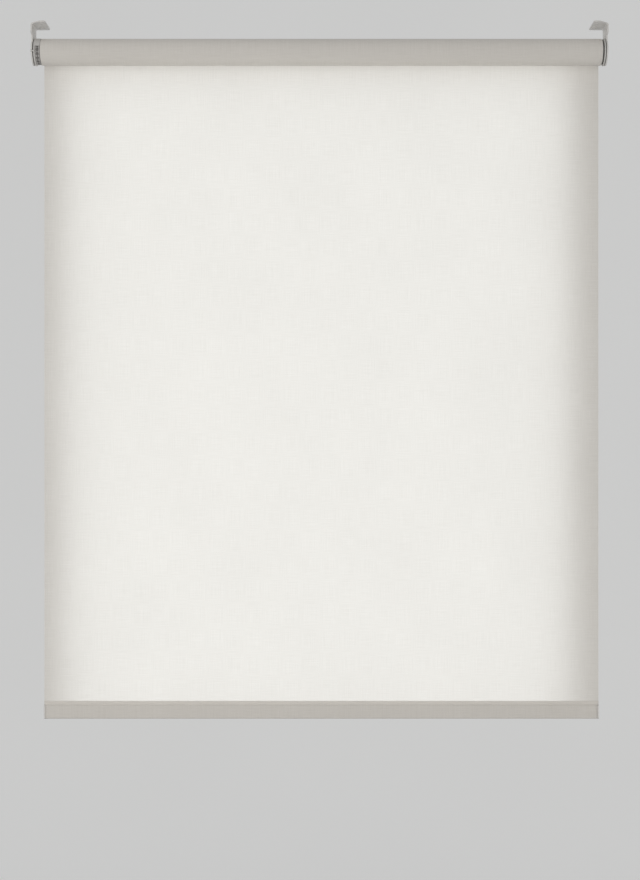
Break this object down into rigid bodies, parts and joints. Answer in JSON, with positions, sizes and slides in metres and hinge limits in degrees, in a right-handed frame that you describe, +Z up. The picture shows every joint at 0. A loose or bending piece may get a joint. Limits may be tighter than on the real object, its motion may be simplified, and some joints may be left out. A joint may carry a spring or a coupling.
{
  "type": "roller blind",
  "caption": "Ceiling-fixed roller blind with a chain-wheel control, a sprung idle end, cloth falling from the back of the roll and a weighted hem.",
  "frame": {"origin": "on the ceiling plane, at the middle of the rectangle of the four main fixing holes", "axes": "+X towards the idle end (right, seen from the room), +Y towards the window, +Z up; the blind hangs below Z = 0"},
  "size_m": [0.89, 0.0566, 1.08],
  "materials": {
    "bracket_metal": "satin powder coat",
    "control_plastic": "moulded, fine satin",
    "wheel_plastic": "moulded, matt",
    "spring_steel": "drawn wire",
    "pin_steel": "zinc plated",
    "tube_metal": "mill finish",
    "spline_plastic": "extruded",
    "blind_cloth": "plain weave, light filtering",
    "hem_cloth": "plain weave, welded",
    "cap_plastic": "moulded, satin"
  },
  "bodies": {
    "frame": {"bracket_left": "bracket_metal", "bracket_right": "bracket_metal", "control_hub": "control_plastic", "chain_guard": "control_plastic", "hub_washer": "spring_steel", "hub_screw": "spring_steel", "idle_cover": "control_plastic", "fabric_panel": "blind_cloth"},
    "chain_wheel": {"sprocket_wheel": "wheel_plastic"},
    "roller": {"roller_tube": "tube_metal", "fabric_roll": "blind_cloth", "fabric_spline": "spline_plastic", "drive_sleeve": "wheel_plastic", "clutch_spring_outer": "spring_steel", "clutch_spring_inner": "spring_steel", "idle_plug": "wheel_plastic", "idle_bush": "wheel_plastic"},
    "pin": {"idle_pin": "pin_steel", "idle_spring": "spring_steel"},
    "hem": {"hem_pocket": "hem_cloth", "hem_bar": "tube_metal", "hem_cap_left": "cap_plastic", "hem_cap_right": "cap_plastic"}
  },
  "joints": [
    {"name": "hem_travel", "type": "slide", "parent": "frame", "child": "hem", "axis": [0, 0, 1], "range_m": [0, 0.985], "deforming": ["fabric_panel"]},
    {"name": "roller_spin", "type": "hinge", "parent": "frame", "child": "roller", "pos_m": [0, 0.0085, -0.0407], "axis": [1, 0, 0], "range_deg": [0, 2608]},
    {"name": "wheel_spin", "type": "hinge", "parent": "frame", "child": "chain_wheel", "pos_m": [-0.43545, 0.0085, -0.0407], "axis": [1, 0, 0], "range_deg": [0, 2608]},
    {"name": "pin_press", "type": "slide", "parent": "frame", "child": "pin", "axis": [-1, 0, 0], "range_m": [0, 0.0065], "stiffness_N_per_m": 500, "springref_m": -0.008, "deforming": ["idle_spring"]}
  ],
  "couplings": [
    {"joint": "roller_spin", "follows": "hem_travel", "rad_per_m": 46.18},
    {"joint": "wheel_spin", "follows": "hem_travel", "rad_per_m": 46.18}
  ]
}
